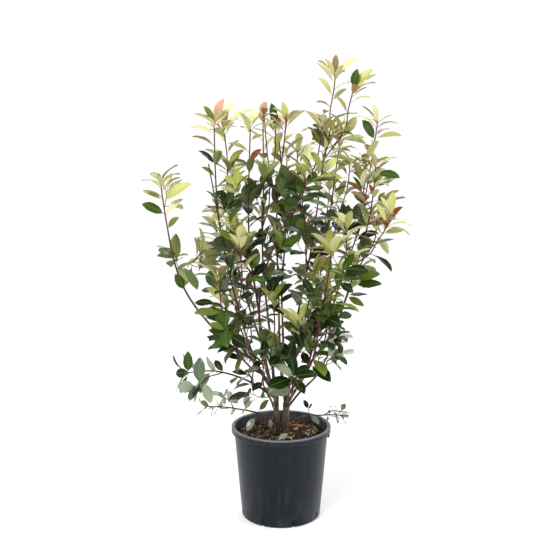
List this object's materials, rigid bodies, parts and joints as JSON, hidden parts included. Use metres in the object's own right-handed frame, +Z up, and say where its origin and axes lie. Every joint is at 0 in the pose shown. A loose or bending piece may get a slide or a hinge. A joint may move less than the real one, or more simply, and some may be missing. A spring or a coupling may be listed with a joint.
{
  "type": "potted photinia red robin shrub",
  "caption": "Young evergreen photinia shrub with upright branching stems and glossy leaves, standing in a round black plastic nursery pot.",
  "frame": {"origin": "centre of the pot's flat underside, where the part stands", "axes": "+Z up through the trunks to the tip of the tallest cane, -Y towards the viewer, +X to the viewer's right"},
  "size_m": [0.6968, 0.6129, 1.2757],
  "materials": {
    "pot": "black nursery plastic with a dull sheen",
    "soil": "coarse brown bark growing medium",
    "trunk": "fissured brown bark",
    "bough": "smooth reddish-brown bark",
    "foliage": "glossy leathery leaves on thin stems"
  },
  "bodies": {
    "root": {"pot": "pot", "soil": "soil", "trunk_left": "trunk", "trunk_right": "trunk", "bough_left_mid": "bough", "bough_far_left": "bough", "bough_centre_left": "bough", "bough_leader": "bough", "bough_low_left": "bough", "bough_centre": "bough", "bough_centre_back": "bough", "bough_twin_back": "bough", "bough_right": "bough", "bough_right_back": "bough", "bough_far_right": "bough", "bough_right_mid": "bough", "bough_right_low": "bough", "bough_front_right": "bough", "bough_front_low": "bough", "bough_front_left": "bough", "bough_left_low": "bough", "bough_low_front": "bough", "bough_inner_right": "bough", "bough_back_left": "bough", "bough_back_centre": "bough", "bough_back_right": "bough", "bough_back_low_left": "bough", "bough_back_low_right": "bough", "bough_sprig_left": "bough", "bough_sprig_right": "bough", "foliage_left_mid": "foliage", "foliage_far_left": "foliage", "foliage_centre_left": "foliage", "foliage_leader": "foliage", "foliage_low_left": "foliage", "foliage_centre": "foliage", "foliage_centre_back": "foliage", "foliage_twin_back": "foliage", "foliage_right": "foliage", "foliage_right_back": "foliage", "foliage_far_right": "foliage", "foliage_right_mid": "foliage", "foliage_right_low": "foliage", "foliage_front_right": "foliage", "foliage_front_low": "foliage", "foliage_front_left": "foliage", "foliage_left_low": "foliage", "foliage_low_front": "foliage", "foliage_inner_right": "foliage", "foliage_back_left": "foliage", "foliage_back_centre": "foliage", "foliage_back_right": "foliage", "foliage_back_low_left": "foliage", "foliage_back_low_right": "foliage", "foliage_sprig_left": "foliage", "foliage_sprig_right": "foliage"}
  },
  "joints": []
}
